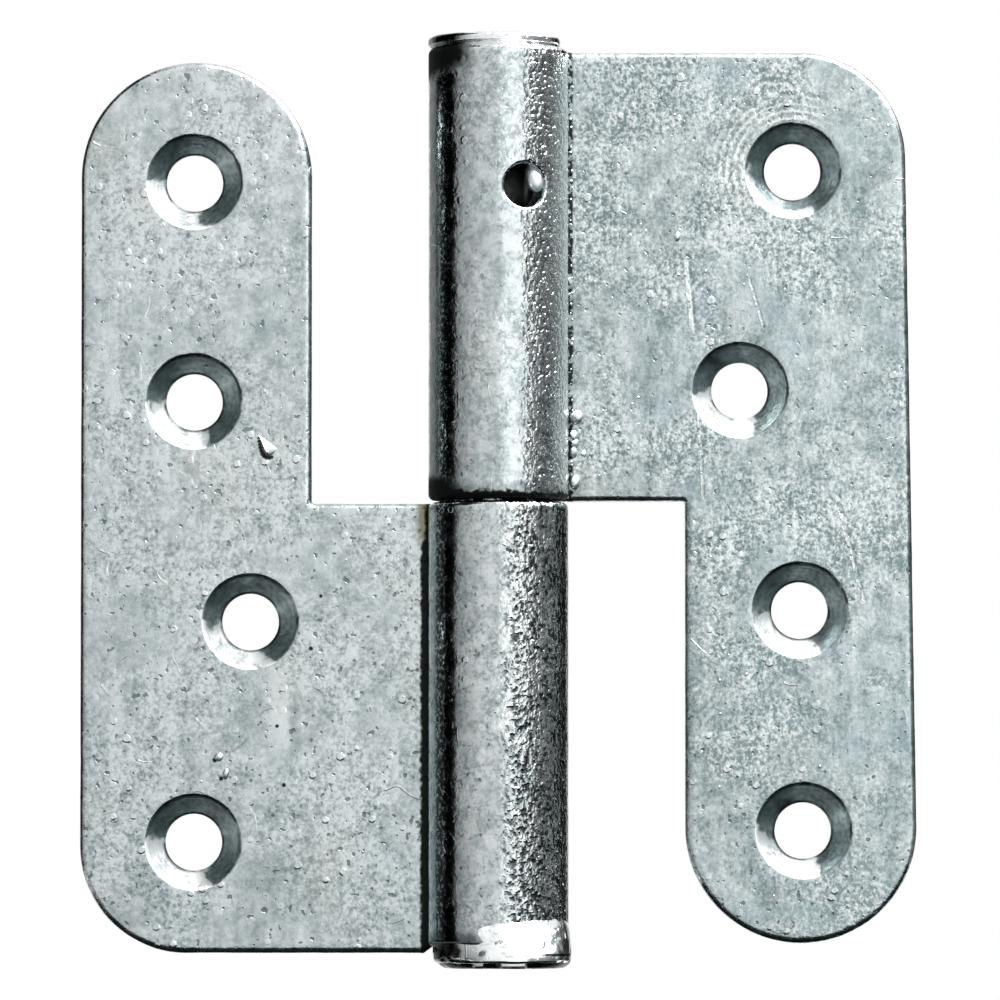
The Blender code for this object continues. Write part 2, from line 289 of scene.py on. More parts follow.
class Rolling:
    """How the sheet goes from flat through its bend into the roll, worked out from the sizes."""

    def __init__(self, sheet):
        self.reach = sheet.reach
        self.thickness = sheet.thickness
        self.bend = sheet.bend
        self.middle = sheet.setback + sheet.thickness / 2
        self.roll = sheet.knuckle - sheet.thickness / 2
        self.angle = math.acos((self.middle + self.bend) / (self.roll + self.bend))
        self.bend_x = (self.roll + self.bend) * math.sin(self.angle)
        self.flat = self.reach - self.bend_x
        self.start = self.flat + self.bend * self.angle

    def length(self, sheet, seam):
        closing = math.asin((sheet.setback - seam) / sheet.knuckle)
        return self.start + self.roll * (self.angle + math.radians(270) + closing)

    def along_to(self, distance):
        """How far along the sheet its front face comes within this distance of the pin's axis."""
        if distance >= self.bend_x:
            return self.reach - distance
        outside = self.bend + self.thickness / 2
        return self.flat + self.bend * math.asin((self.bend_x - distance) / outside)

    def along_at(self, turned):
        """How far along the sheet the roll has turned by this much from the back of the knuckle."""
        return self.start + self.roll * (self.angle + turned)


def full_turn(count):
    return [2 * math.pi * index / count for index in range(count)]


def on_circle(centre, radius, turns):
    return [centre + radius * Vector((math.cos(turn), math.sin(turn))) for turn in turns]


def arc(centre, radius, start, end, step):
    """Points on an arc from start to end, both in degrees and both included."""
    count = max(4, round(radius * math.radians(abs(end - start)) / step))
    turns = [math.radians(start + (end - start) * index / count) for index in range(count + 1)]
    return on_circle(centre, radius, turns)


def sides_of(outline):
    """The sides of a closed outline, each with both its ends."""
    return zip(outline, outline[1:] + outline[:1])


def dense(outline, step):
    """The closed outline with its long sides divided."""
    points = []
    for here, after in sides_of(outline):
        count = max(1, round((after - here).length / step))
        points += [here.lerp(after, index / count) for index in range(count)]
    return points


def inset(outline, distance):
    """The outline moved inwards, each point along the bisector of its corner."""
    moved = []
    for index, here in enumerate(outline):
        arriving = (here - outline[index - 1]).normalized()
        leaving = (outline[(index + 1) % len(outline)] - here).normalized()
        inward = Vector((-arriving.y, arriving.x))
        bisector = (inward + Vector((-leaving.y, leaving.x))).normalized()
        moved.append(here + bisector * (distance / bisector.dot(inward)))
    return moved


def cuts(outline, height):
    """Where a level line crosses the closed outline, from left to right."""
    return sorted(here.x + (height - here.y) * (after.x - here.x) / (after.y - here.y)
                  for here, after in sides_of(outline) if (here.y > height) != (after.y > height))


def contains(outline, point):
    return sum(point.x < cut for cut in cuts(outline, point.y)) % 2 == 1


class Pressing:
    """One of the two leaves, as it lies before the door leaf is turned round."""

    def __init__(self, scene, side):
        self.sheet, self.holes = scene.hinge_sheet, scene.hinge_pressing
        self.rolling = Rolling(self.sheet)
        self.side = side
        self.turned = side == "door"
        for size in ("seam", "step", "gap", "trim", "drop"):
            setattr(self, size, getattr(self.holes, size)[int(self.turned)])
        self.foot_level = LEAF_LOW.z + self.step  # the knuckle's outer end

    def clear_spot(self, x, z):
        """True if a place, seen from the front, lies well within the leaf's flat part and off its holes."""
        side = -1 if self.turned else 1
        spot = Vector((self.sheet.reach + side * x, side * z))
        if any((spot - centre).length < self.holes.mouth + 0.6 * MM for centre in self.screw_holes()):
            return False
        return spot.x < self.rolling.flat and contains(inset(self.outline(), 1.2 * MM), spot)

    def screw_holes(self):
        """Centres of the screw holes, with x along the sheet and y up."""
        edge_top = LEAF_HIGH.z - self.sheet.limb_width / 2
        edge_bottom = LEAF_LOW.z + self.sheet.corner
        pitch = (LEAF_HIGH.z - LEAF_LOW.z - 2 * self.holes.end_margin) / (self.holes.count - 1)
        centres = []
        for number in range(self.holes.count):
            height = LEAF_HIGH.z - self.holes.end_margin - self.drop - number * pitch
            inwards = self.holes.inner_inset if number == self.holes.inner else self.holes.inset
            lean = self.trim * (edge_top - height) / (edge_top - edge_bottom)
            centres.append(Vector((lean + inwards, height)))
        return centres

    def outline(self):
        """Outline of the flat blank, anticlockwise, with x along the sheet and y up."""
        sheet, tip, foot = self.sheet, self.sheet.tip, self.foot_level
        end = self.rolling.length(sheet, self.seam)
        step_end = self.rolling.along_to(sheet.step_place)
        fine = sheet.mesh / 2
        corner = Vector((self.trim + sheet.corner, LEAF_LOW.z + sheet.corner))
        notch = Vector((sheet.limb_width + sheet.notch, -self.gap + sheet.notch))
        limb_end = Vector((sheet.limb_width / 2, LEAF_HIGH.z - sheet.limb_width / 2))
        outline = arc(corner, sheet.corner, 180, 270, sheet.mesh)
        outline += [Vector((step_end - sheet.step_run, LEAF_LOW.z)), Vector((step_end, foot))]
        outline += arc(Vector((end - tip, foot + tip)), tip, 270, 360, fine)
        outline += arc(Vector((end - tip, -self.gap - tip)), tip, 0, 90, fine)
        outline += arc(notch, sheet.notch, 270, 180, fine / 2)
        outline += arc(limb_end, sheet.limb_width / 2, 0, 180, sheet.mesh)
        return dense(outline, sheet.mesh)


def screw_hole_rings(centre, sheet, holes):
    """Rings of a countersunk hole from front to back, each with its place across the sheet."""
    half = sheet.thickness / 2
    depth = holes.mouth - holes.hole
    lip = 0.15 * MM
    profile = [(holes.mouth + lip, -half), (holes.mouth + lip / 3, -half + lip / 6)]
    for part in (0.06, 0.2, 0.36, 0.52, 0.68, 0.84, 0.96):
        profile.append((holes.mouth - depth * part, -half + depth * part))
    profile += [(holes.hole, -half + depth * 1.04), (holes.hole, half - lip), (holes.hole + lip, half)]
    turns = full_turn(round(2 * math.pi * holes.mouth / sheet.mesh))
    return [(across, on_circle(centre, radius, turns)) for radius, across in profile]


def oil_hole_rings(pressing):
    """Rings of the oil hole from the bore to its mouth, laid back on the flat blank."""
    holes, rolling = pressing.holes, pressing.rolling
    half = pressing.sheet.thickness / 2
    centre = Vector((rolling.along_at(math.pi + holes.oil_turn), pressing.foot_level + holes.oil_drop))
    rings = []
    for lip, part in ((0, -1), (0, -0.3), (0, 0.35), (0.03, 0.6), (0.12, 0.8), (0.3, 0.95), (0.55, 1)):
        radius, across = holes.oil + lip * MM, half * part
        ring = []
        for turn in full_turn(OIL_HOLE_STEPS):
            swing = math.asin(radius * math.cos(turn) / (rolling.roll + across))
            ring.append(centre + Vector((rolling.roll * swing, radius * math.sin(turn))))
        rings.append((across, ring))
    return rings


def inner_points(outline, holes, step):
    """Points in staggered rows all over the outline, clear of its edge and of the holes."""
    rims = outline + [point for hole in holes for point in hole]
    near = kdtree.KDTree(len(rims))
    for index, point in enumerate(rims):
        near.insert(point.to_3d(), index)
    near.balance()
    around = []
    for hole in holes:
        middle = sum(hole, Vector((0, 0))) / len(hole)
        around.append((middle, max((point - middle).length for point in hole), hole))
    points = []
    row_step = step * math.sqrt(3) / 2
    low = min(point.y for point in outline)
    high = max(point.y for point in outline)
    for row in range(round((high - low) / row_step)):
        height = low + (row + 0.5) * row_step
        edges = cuts(outline, height)
        for left, right in zip(edges[::2], edges[1::2]):
            for column in range(math.ceil(left / step), math.floor(right / step) + 1):
                point = Vector((column * step + (row % 2) * step / 2, height))
                if point.x > right or near.find(point.to_3d())[2] < step * 0.6:
                    continue
                near_holes = [hole for middle, reach, hole in around if (point - middle).length < reach]
                if not any(contains(hole, point) for hole in near_holes):
                    points.append(point)
    return points


def fill_side(work, outline, holes, across, step, outwards):
    """Fill one side of the blank with fine triangles, left open at the holes."""
    points, edges, owner = [], [], []
    for number, loop in enumerate([outline] + holes):
        first = len(points)
        points += loop
        owner += [number] * len(loop)
        edges += [(first + index, first + (index + 1) % len(loop)) for index in range(len(loop))]
    points += inner_points(outline, holes, step)
    scaled = [point / MM for point in points]
    places, _, faces, sources, _, _ = geometry.delaunay_2d_cdt(scaled, edges, [], 1, 1e-5)
    verts = [work.verts.new((place.x * MM, across, place.y * MM)) for place in places]
    for face in faces:
        ends = [sources[index][0] for index in face]
        loops_met = {owner[index] if index < len(owner) else 0 for index in ends}
        if len(loops_met) == 1 and loops_met.pop() > 0:
            continue
        order = face if outwards else face[::-1]
        work.faces.new([verts[index] for index in order])


def wall(work, lower, upper):
    """Faces between two closed rows of vertices; a row may be one vertex repeated."""
    for step in range(len(lower)):
        after = (step + 1) % len(lower)
        corners = [lower[step], lower[after], upper[after], upper[step]]
        work.faces.new(list(dict.fromkeys(corners)))


def bridge(work, rings, cut=0.0):
    """Join rings of equal count, given as (across, points), with quads; cut is 1 for a cut face."""
    layer = work.verts.layers.float["cut"]
    rows = [[work.verts.new((point.x, across, point.y)) for point in ring] for across, ring in rings]
    for row in rows[1:-1]:
        for vertex in row:
            vertex[layer] = cut
    for lower, upper in zip(rows, rows[1:]):
        wall(work, lower, upper)


def edge_rings(outline, sheet):
    """Rings round the blank's edge from front to back, rounded at both sides."""
    half, size = sheet.thickness / 2, sheet.rounding
    turns = [math.radians(turn) for turn in (0, 22, 45, 68, 90)]
    front = [(size * (1 - math.sin(turn)), -half + size * (1 - math.cos(turn))) for turn in turns]
    back = [(distance, -across) for distance, across in front[::-1]]
    middle = [(0, -across) for across in (0.2 * half, 0, -0.2 * half)]
    return [(across, inset(outline, distance)) for distance, across in front + middle + back]


def flat_blank(pressing):
    """The flat blank with all its holes, as a closed mesh."""
    sheet = pressing.sheet
    edge = edge_rings(pressing.outline(), sheet)
    drilled = [screw_hole_rings(centre, sheet, pressing.holes) for centre in pressing.screw_holes()]
    bored = [oil_hole_rings(pressing)] if pressing.turned else []
    work = bmesh.new()
    work.verts.layers.float.new("cut")
    for side in (0, -1):
        across, outline = edge[side]
        mouths = [rings[side][1] for rings in drilled + bored]
        fill_side(work, outline, mouths, across, sheet.mesh, side == 0)
    for rings in [edge] + bored:
        bridge(work, rings)
    for rings in drilled:
        bridge(work, rings, 1.0)
    bmesh.ops.remove_doubles(work, verts=work.verts, dist=1e-7)
    bmesh.ops.recalc_face_normals(work, faces=work.faces)
    return work


def placed(name, data):
    item = bpy.data.objects.new(name, data)
    bpy.context.scene.collection.objects.link(item)
    return item


def object_of(name, work):
    mesh = bpy.data.meshes.new(name)
    work.to_mesh(mesh)
    work.free()
    return placed(name, mesh)


def grown(item, tree, values, stands_for):
    """Run a Geometry Nodes tree on an object and keep the plain mesh that comes out.

    The object is then put under the solid's body and the solid's node is hidden; stands_for is (body, node,
    material slot), and the material slot is not used.
    """
    modifier = item.modifiers.new(tree.name, "NODES")
    modifier.node_group = tree
    inputs = [socket for socket in tree.interface.items_tree if socket.in_out == "INPUT"]
    for socket, value in zip(inputs[1:], values, strict=True):
        modifier[socket.identifier] = value
    bpy.context.view_layer.update()
    evaluated = item.evaluated_get(bpy.context.evaluated_depsgraph_get())
    mesh = bpy.data.meshes.new_from_object(evaluated)
    item.modifiers.remove(modifier)
    old = item.data
    item.data = mesh
    mesh.name = item.name
    bpy.data.meshes.remove(old)
    mesh.shade_smooth()
    mesh.set_sharp_from_angle(angle=math.radians(SMOOTH_ANGLE))
    body, node, slot = stands_for
    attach(item, body)
    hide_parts(node)


def new_tree(name, labels):
    """A Geometry Nodes tree; returns its board and its inputs as wires, of which the shape is the first."""
    tree = bpy.data.node_groups.new(name, "GeometryNodeTree")
    tree.interface.new_socket("Geometry", in_out="OUTPUT", socket_type="NodeSocketGeometry")
    kinds = {"Geometry": "Geometry", "Seed": "Int", "Material": "Material"}
    for label in ("Geometry", *labels, "Material"):
        tree.interface.new_socket(label, in_out="INPUT", socket_type="NodeSocket" + kinds.get(label, "Float"))
    board = Board(tree)
    return board, [Wire(board, socket) for socket in tree.nodes.new("NodeGroupInput").outputs if socket.name]


def coated(board, shape, height, material):
    """End a tree: move the shape out along its normals by the coat's height, and give it its material."""
    offset = board.scaled(board.put("GeometryNodeInputNormal"), height)
    shape = board.put("GeometryNodeSetPosition", {"Geometry": shape, "Offset": offset})
    real = board.put("GeometryNodeRealizeInstances", {0: shape})
    dressed = board.put("GeometryNodeSetMaterial", {"Geometry": real, "Material": material})
    leave = board.tree.nodes.new("NodeGroupOutput")
    board.tree.links.new(dressed.socket, leave.inputs[0])
    return board.tree


def shifted(board, shift):
    """The place of a point, moved so that each piece has its own pattern."""
    terms = {0: board.put("GeometryNodeInputPosition"), 1: board.joined(shift, shift, 0.0)}
    return board.put("ShaderNodeVectorMath", terms, operation="ADD")


def coat_height(board, pattern, lump_width, lump, grain_width, grain):
    """Height of the coat's slow waves and of its grain, of these widths in millimetres and these heights."""
    lumps = board.noise(pattern, lump_width, 2) - 0.5
    grains = board.noise(pattern, grain_width, 2) - 0.5
    return lumps * lump * 2 + grains * grain * 2


def roll_tree():
    """Tree that rolls the flat blank round the pin, and then lets the zinc coat set on it."""
    labels = ("Reach", "Sheet Middle", "Flat Length", "Bend Radius", "Bend Angle", "Roll Radius", "Half Turn",
              "Lump Height", "Grain Height", "Flare Height", "Flare Level", "Pattern")
    board, given = new_tree("roll the sheet", labels)
    blank, reach, middle, flat, bend, bend_angle, roll, half_turn = given[:8]
    lump, grain, flare, flare_level, shift, material = given[8:]
    place = board.put("GeometryNodeInputPosition")
    along, across, up = board.parts(place)
    named = board.put("GeometryNodeStoreNamedAttribute", {"Geometry": blank, "Name": "sheet", "Value": place},
                      data_type="FLOAT_VECTOR", domain="POINT")
    bend_turn = (along - flat) / bend
    bend_radius = bend - across
    in_bend = along > flat
    roll_start = flat + bend * bend_angle
    roll_turn = (along - roll_start) / roll - bend_angle
    roll_radius = roll + across
    in_roll = along > roll_start
    x = pick(in_bend, bend_radius * bend_turn.math("SINE") - (reach - flat), along - reach)
    y = pick(in_bend, middle + bend - bend_radius * bend_turn.math("COSINE"), across + middle)
    x = pick(in_roll, roll_radius * roll_turn.math("SINE"), x)
    y = pick(in_roll, roll_radius * roll_turn.math("COSINE"), y)
    side = 1 - half_turn * 2
    rolled = board.joined(x * side, y, up * side)
    shape = board.put("GeometryNodeSetPosition", {"Geometry": named, "Position": rolled})
    kept = board.put("GeometryNodeInputNamedAttribute", {"Name": "sheet"}, data_type="FLOAT_VECTOR")
    along, across, up = board.parts(kept)
    pattern = shifted(board, shift)
    height = coat_height(board, pattern, 5, lump, 1.1, grain)
    outside = (across > 0.0) * (along > roll_start)
    ragged = (board.noise(pattern, 3, 2) - 0.5) * (1.6 * MM)
    low = (up + ragged).fade(flare_level + 3.2 * MM, flare_level)
    rightwards = board.parts(board.put("GeometryNodeInputPosition"))[0].span(-6, 1)
    height = height + low * low * rightwards * outside * flare
    return coated(board, shape, height, material)


def dip_tree():
    """Tree that lets the zinc coat set on a turned piece."""
    board, given = new_tree("dip in zinc", ("Lump Height", "Grain Height", "Pattern"))
    shape, lump, grain, shift, material = given
    return coated(board, shape, coat_height(board, shifted(board, shift), 4, lump, 1.0, grain), material)


def bead_tree():
    """Tree that sets a bead of zinc on every point, of the size that the point carries."""
    board, given = new_tree("zinc beads", ("Bead Size", "Lump Height", "Seed"))
    points, radius, lump, seed, material = given
    size = board.put("GeometryNodeInputNamedAttribute", {"Name": "size"}, data_type="FLOAT")
    limits = (((0.75, 0.7, 0.8), (1.15, 1.0, 1.5), seed), ((-0.3,) * 3, (0.3,) * 3, seed + 1))
    uneven, turn = (
        board.put("FunctionNodeRandomValue", {0: low, 1: high, "Seed": draw}, data_type="FLOAT_VECTOR")
        for low, high, draw in limits)
    bead = board.put("GeometryNodeMeshIcoSphere", {"Radius": radius, "Subdivisions": 3})
    sown = board.put("GeometryNodeInstanceOnPoints", {"Points": points, "Instance": bead, "Rotation": turn,
                                                      "Scale": board.scaled(uneven, size)})
    real = board.put("GeometryNodeRealizeInstances", {0: sown})
    lumps = board.noise(board.put("GeometryNodeInputPosition"), 0.9, 1) - 0.5
    return coated(board, real, lumps * lump * 2, material)


def new_material(name, sockets=None):
    material = bpy.data.materials.new(name)
    material.use_nodes = True
    board, shader = Board(material.node_tree), material.node_tree.nodes["Principled BSDF"]
    board.feed(shader, sockets or {})
    return material, board, shader


class Coat:
    """Dipped zinc while it is painted: clouds, mottle and specks in its tone, and a pitted grain.

    The tone grows by the rise with each metre of height; on the leaves this is painted light, lighter at the
    top.
    """

    def __init__(self, name, look, shift, tone, speckle, cold, rise=None):
        self.look = look
        self.material, self.board, self.shader = new_material(name)
        base = self.board.put("ShaderNodeTexCoord", output="Object")
        self.place = self.board.mapped(base, Location=(shift, shift * 2, shift / 3))
        self.x, _, self.height = self.board.parts(base)
        if rise:
            tone = tone + self.height * rise
        self.ground(tone, speckle, cold)

    def noise(self, grain, detail, distortion=0.0):
        return self.board.noise(self.place, grain, detail, distortion)

    def spots(self, grain, detail, start, end):
        """The noise as a mask."""
        return self.noise(grain, detail).fade(start, end)

    def wander(self, grain, reach):
        """How far an uneven edge strays, by up to half the reach, in millimetres."""
        return (self.noise(grain, 2) - 0.5) * (reach * MM)

    def paint(self, tint_name, share):
        self.colour = self.board.mix(share, self.colour, tuple(getattr(self.look, tint_name)))

    def ground(self, tone, speckle, cold):
        """Colour, relief and roughness of the plain coat."""
        board, place = self.board, self.place
        clouds = self.noise(11, 3, 0.6) - 0.5
        mottle = self.noise(2.2, 3) - 0.5
        runs = board.noise(board.mapped(place, Scale=(1, 1, 0.2)), 1.3, 2) - 0.5
        specks = self.noise(0.62, 2) - 0.5
        grain = self.noise(0.3, 1) - 0.5
        patch = self.spots(12, 2, 0.36, 0.62)
        pits = self.spots(0.85, 1, 0.33, 0.26)
        cell = {"Vector": place, "Scale": 1 / (1.9 * MM)}
        near = board.put("ShaderNodeTexVoronoi", cell, "Distance")
        chance = board.parts(Wire(board, near.socket.node.outputs["Color"]))[0]
        blobs = (near + mottle * 0.35).fade(0.30, 0.17) * (chance > 0.72) * (0.3 + patch * 0.7)
        folds = abs(self.noise(7, 1, 0.8) - 0.5).fade(0.016, 0.004) * self.spots(3.5, 2, 0.56, 0.68)
        lively = speckle * (0.45 + patch * 0.9)
        slanted = board.mapped(place, Rotation=(0, 0.3, 0), Scale=(1, 1, 0.16))
        smears = board.noise(slanted, 3.2, 2).fade(0.56, 0.72) * self.spots(16, 1, 0.42, 0.62)
        tone = tone + smears * 0.35 + clouds * 0.7 + mottle * 1.25 + runs * 0.4
        tone = tone + (specks * 1.9 + grain * 1.2) * lively
        self.colour = board.mix(tone, tuple(self.look.dark), tuple(self.look.light))
        self.paint("cold", self.spots(8, 2, 0.48, 0.7) * cold)
        self.paint("warm", self.spots(14, 2, 0.55, 0.8) * 0.2)
        self.paint("pit_and_shade", pits * 0.7)
        # Raised lumps and folds of the coat: real relief, with a painted highlight on top of them
        self.paint("glint", (blobs + folds * 0.4) * 0.45)
        relief = specks * 0.05 * lively + grain * 0.008 + mottle * 0.08 + runs * 0.025 - pits * 0.03
        self.relief = relief + blobs * 0.07 + folds * 0.03
        self.rough = self.look.roughness + mottle * 0.3 + pits * 0.15

    def finished(self):
        bump = self.board.put("ShaderNodeBump", {"Strength": 1.0, "Distance": MM, "Height": self.relief})
        self.board.feed(self.shader, {"Base Color": self.colour, "Roughness": self.rough.clamped(),
                                      "Metallic": 1.0, "Normal": bump})
        return self.material


def zinc(name, look, shift, tone, speckle, cold, shade_below=-1.0, rougher=0.0, shade_and_highlight=None, glints=()):
    """Dipped zinc of a small piece, with painted shade below a height, and painted glints in it as (middle,
    half width).

    A coat given its shade and highlight gets painted shade on its frame side up to the first distance and a
    painted highlight past the second one. There it leans up by the slope that comes third, about the height
    that comes last.
    """
    coat = Coat(name, look, shift, tone, speckle, cold)
    x, height, ragged = coat.x, coat.height, coat.wander(1.6, 1.0)
    # Painted shade on the underside, below the given height
    scale = (height + ragged).span(0, -0.3, shade_below)
    coat.paint("soot_and_shade", scale * coat.spots(2.2, 1, 0.62, 0.57) * 0.96)
    # Painted glints on the shaded underside, with the relief leaning up there
    for middle, half in glints:
        lit = abs(x - middle + ragged * 0.4).span(0, -0.3, half)
        coat.relief = coat.relief - (height - shade_below) * lit * (1.0 / MM)
        coat.paint("glint", lit * abs(height - shade_below + 0.3 * MM + ragged * 0.15).span(0.55, 0.35))
    if shade_and_highlight:
        shade_end, bright, lean, level = shade_and_highlight
        # Painted shade on the frame side and painted highlight on the other, with an upward lean in the
        # relief
        side = x + ragged * 1.2
        coat.relief = coat.relief - (height - level) * x.fade(shade_end, bright) * (lean / MM)
        dull = coat.board.noise(coat.board.mapped(coat.place, Scale=(1, 1, 2.5)), 1.8, 3)
        coat.paint("glint", side.fade(shade_end, bright) * dull.fade(0.36, 0.5))
        black = side.span(1.2, -0.4, shade_end) * side.span(-8.3, -7.6)
        # Painted shade in the groove between collar and head, on the right
        groove_shade = abs(height - level + 0.9 * MM + ragged * 0.2).span(0.22, 0.08)
        coat.paint("soot_and_shade", black.math("MAXIMUM", groove_shade * side.span(4.4, 5.8)) * 0.96)
    coat.rough = coat.rough - 0.07 + rougher + scale * 0.2
    return coat.finished()


# In millimetres: dark spots on the frame leaf as (right, up, radius), where the first ten are the painted
# shadow along the flake's left and lower sides, the next two the painted shadows of the two larger drops, and
# the last four dark marks; and scratches on the door leaf's front as (right, up, half its length, lean, half
# its width)
DARK_MARKS_AND_SHADOWS = (
    (-29.75, 7.9, 0.2), (-29.65, 7.5, 0.28), (-29.55, 7.1, 0.32), (-29.45, 6.7, 0.36), (-29.35, 6.3, 0.4),
    (-29.2, 5.95, 0.42), (-29.0, 5.7, 0.44), (-28.7, 5.5, 0.44), (-28.4, 5.45, 0.38), (-28.1, 5.5, 0.3),
    (-35.1, -32.0, 0.4), (-34.3, -34.3, 0.35), (-23.2, -18.2, 0.35), (-22.0, -11.7, 0.3), (-27.4, -27.8, 0.3),
    (-26.5, -35.1, 0.35))
SCRATCHES = ((23.6, 25.5, 5.0, -0.09, 0.4), (31.8, 25.0, 3.6, -0.3, 0.2), (25.0, 6.0, 6.0, -0.05, 0.2),
             (43.5, -6.0, 7.0, -0.25, 0.3))


class LeafZinc(Coat):
    """Dipped zinc of a leaf, with its cut faces, painted shade in seam and crevice, painted highlights and
    reflections, and marks of the tools.
    """

    def __init__(self, name, look, pressing, shift, tone, speckle, cold):
        # rise=1.2 paints light: each leaf grows lighter towards the top
        super().__init__(name, look, shift, tone, speckle, cold, rise=1.2)
        self.pressing, self.foot, self.turned = pressing, pressing.rolling.flat, pressing.turned
        self.along, self.across, self.up = self.board.parts(self.board.attribute("sheet", "Vector"))
        self.ragged = self.wander(0.7, 1.4)
        self.front = self.across < 0.0
        self.inner = self.past(2.4, 2) * self.front
        self.knuckle()
        if self.turned:
            self.marks()
        # Painted shade along the seam of the rolled edge
        self.blacken(self.upper_seam() if self.turned else self.lower_seam())
        self.holes()

    def past(self, start, end, uneven=0):
        """Fade along the sheet, in millimetres past the end of its flat part."""
        along = self.along + self.ragged * uneven if uneven else self.along
        return along.span(start, end, self.foot)

    def blacken(self, shade_and_dirt):
        # Near black: painted shade in seams, painted shadows, and a few dark marks
        self.paint("soot_and_shade", shade_and_dirt * 0.97)
        self.rough = self.rough + shade_and_dirt * 0.4

    def knuckle(self):
        """The coat lies thicker and wetter on the knuckle, with dimples on its door side, painted shade and
        highlights in the dimples, and painted reflections on its flanks.
        """
        x, ragged = self.x, self.ragged
        rolled = self.past(3, 6)
        dimpled = rolled * (x + ragged * 2).span(*((2.0, 4.2) if self.turned else (-0.6, 2.0)))
        dimples = self.noise(0.55, 1) - 0.5
        edge = (7.5, 7.0) if self.turned else (8.0, 7.5)
        left = ragged * 0.5 - x
        # Painted reflection: a dark band down the knuckle's outer flank, and blue-grey at its rim
        painted_dark_flank = left.span(*edge) * left.span(5.3, 5.9) * rolled * self.spots(0.5, 2, 0.62, 0.5)
        self.paint("soot_and_shade", painted_dark_flank * 0.9)
        self.paint("cold", (ragged * 0.3 - x).span(*edge[::-1]) * rolled * 0.6)
        self.relief = self.relief * (1 - rolled * 0.35) + dimples * dimpled * 0.22
        # Painted shade in the dimples' hollows and painted highlight on their rises
        self.paint("soot_and_shade", dimples.fade(0.03, -0.11) * dimpled * 0.9)
        self.paint("glint", dimples.fade(0.08, 0.18) * dimpled * 0.5)
        self.paint("pit_and_shade", self.spots(0.5, 2, 0.44, 0.34) * rolled * 0.4)
        self.paint("glint", self.spots(1.7, 3, 0.46, 0.62) * rolled * 0.4 * (1 - painted_dark_flank))
        if self.turned:
            self.paint("light", rolled * 0.3 * (1 - painted_dark_flank))
            # A warm crack on the upper knuckle, with painted shade along its right side
            self.paint("warm", self.scratch(3.2, 29.0, 2.2, 0.0, 0.22) * rolled * 0.8)
            self.paint("pit_and_shade", self.scratch(3.5, 28.6, 2.6, 0.0, 0.18) * rolled * 0.85)
            # Painted reflection of the door leaf along the upper knuckle's right rim
            self.paint("glint", rolled * (x + ragged * 0.4).span(6.0, 7.4) * 0.75)
        self.rough = self.rough - rolled * 0.11

    def scratch(self, right, high, half, lean, width):
        """Mask of a broken upright line: its middle, half its length, its lean and half its width."""
        rise = 0.0 - self.up - high * MM
        off = abs(self.x + self.ragged * 0.2 - right * MM - rise * lean)
        broken = self.spots(0.9, 2, 0.38, 0.52)
        return off.span(width, width * 0.4) * abs(rise).span(half, half * 0.8) * broken

    def marks(self):
        """Upright scratches and pressed lines on the door leaf's front; the scratches get a painted highlight
        and painted shade beside it.
        """
        front = self.front * self.past(0, -0.5)
        for right, high, half, lean, width in SCRATCHES:
            # Painted highlight along the raised scratch, and painted shade just to its right
            light = self.scratch(right, high, half, lean, width) * front
            self.paint("glint", light * 0.6)
            self.relief = self.relief + light * 0.05
            dark = self.scratch(right + width + 0.15, high, half, lean, width * 0.6) * front
            self.paint("pit_and_shade", dark * 0.5)
        pitted = self.scratch(18.9, 6.3, 6.5, 0.04, 0.5) * front * self.spots(0.5, 1, 0.45, 0.55)
        self.paint("pit_and_shade", pitted * 0.7)

    def upper_seam(self):
        """Painted shade at both ends of the upper knuckle and a painted highlight along the door leaf's top
        end;
        returns where painted shade lies along its seam.
        """
        x, up, ragged, end = self.x, self.up, self.ragged, self.pressing.foot_level
        sag = self.wander(3, 2.6)
        # Painted shade at the joint, at the lower left and at the top end, with a painted shade smudge above
        # the joint
        joint = (up + ragged * 0.8 + sag * 0.6).span(-1.15, -0.7)
        shade_smudge = (up + sag * 1.6).span(-3.0, -1.0) * self.noise(1.1, 2) * (1 - x.span(-6.0, -3.0) * 0.45)
        left = (x - up * 0.8 + ragged).span(-2.8, -5.2) * up.span(-3.6, -2.2)
        mouth = (up + x * 0.3 + ragged).span(2.4, 0.4, end) * (x + ragged).span(-2.4, -5.0)
        rolled = self.past(3, 4)
        joint = (joint + left + mouth).clamped() * rolled
        # Painted highlight along the door leaf's upward-facing top end
        self.paint("glint", up.span(1.4, 0, end) * 0.55)
        self.paint("pit_and_shade", shade_smudge.fade(0.12, 0.5) * rolled * 0.8)
        self.paint("soot_and_shade", joint)
        self.rough = self.rough + joint * 0.5
        # Painted shade dotted along the door leaf's seam
        return self.inner * self.spots(0.6, 1, 0.42, 0.52) * self.past(0.02, 0.3, 0.25)

    def lower_seam(self):
        """Stain, dark marks, painted shadows and painted shade at the lower knuckle's end, on the frame leaf;
        returns where painted shade lies along its seam.
        """
        x, up, ragged, end = self.x, self.up, self.ragged, self.pressing.foot_level
        upper = up.span(-7, -3)
        self.paint("stain", self.inner * self.past(-1.0, -0.1, 0.4) * upper * 0.85)
        # Painted shade at the lower left end of the lower knuckle
        low = (up + ragged).span(2.4, 0.8, end) * (x + ragged).span(-1.2, -3.4) * self.past(3, 4)
        self.paint("pit_and_shade", low * 0.85)
        low = low * up.span(0.8, 0.4, end)
        self.paint("soot_and_shade", low)
        self.rough = self.rough + low * 0.4
        marks_and_shadows = self.board.put("ShaderNodeValue")
